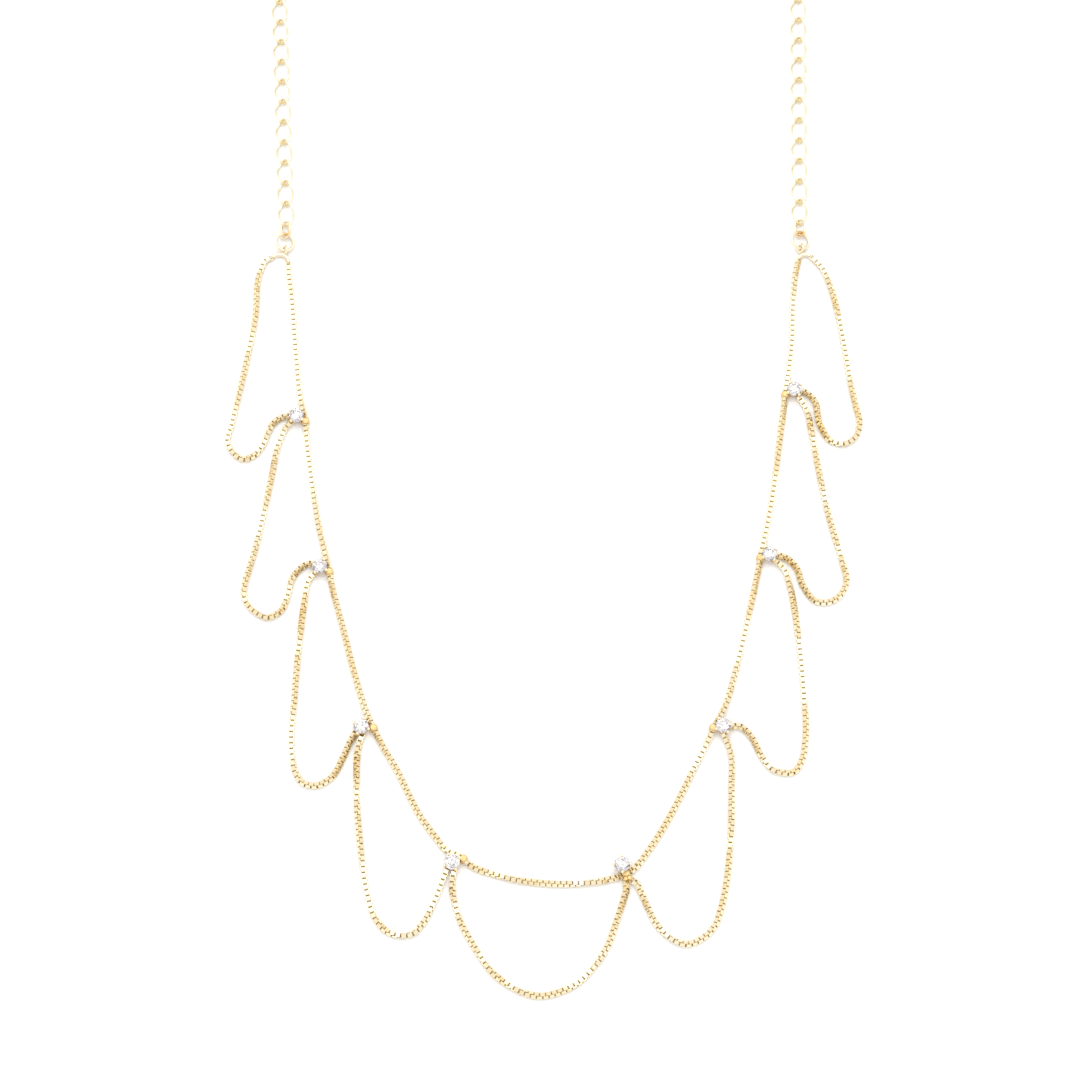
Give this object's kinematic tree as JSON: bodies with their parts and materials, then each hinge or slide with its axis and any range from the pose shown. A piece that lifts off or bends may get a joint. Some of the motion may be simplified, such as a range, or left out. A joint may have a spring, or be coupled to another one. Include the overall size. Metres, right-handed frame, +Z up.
{
  "type": "choker necklace",
  "caption": "Scalloped choker of fine gold box chain with small round clear stones in claw settings, lying flat as a closed loop with curb chain and a plain clasp.",
  "frame": {"origin": "centre of the bounding box on the surface that the choker lies on", "axes": "+Z up from the surface, +Y from the lowest swag towards the clasp, +X to the right in the picture"},
  "size_m": [0.0979, 0.1849, 0.002],
  "materials": {
    "chain_gold": "polished pale yellow gold, fine box links",
    "setting_gold": "polished pale yellow gold with solder a little deeper in colour",
    "fitting_gold": "polished pale yellow gold wire",
    "curb_gold": "polished pale yellow gold, twisted curb links",
    "stone": "clear faceted stone"
  },
  "bodies": {
    "root": {"main_chain": "chain_gold", "swag_1": "chain_gold", "swag_2": "chain_gold", "swag_3": "chain_gold", "swag_4": "chain_gold", "swag_5": "chain_gold", "swag_6": "chain_gold", "swag_7": "chain_gold", "swag_8": "chain_gold", "swag_9": "chain_gold", "setting_1": "setting_gold", "setting_2": "setting_gold", "setting_3": "setting_gold", "setting_4": "setting_gold", "setting_5": "setting_gold", "setting_6": "setting_gold", "setting_7": "setting_gold", "setting_8": "setting_gold", "stone_1": "stone", "stone_2": "stone", "stone_3": "stone", "stone_4": "stone", "stone_5": "stone", "stone_6": "stone", "stone_7": "stone", "stone_8": "stone", "end_cap_left": "fitting_gold", "end_cap_right": "fitting_gold", "jump_ring_left": "fitting_gold", "jump_ring_right": "fitting_gold", "small_ring_left": "fitting_gold", "small_ring_right": "fitting_gold", "curb_left": "curb_gold", "curb_right": "curb_gold", "clasp": "fitting_gold"}
  },
  "joints": []
}
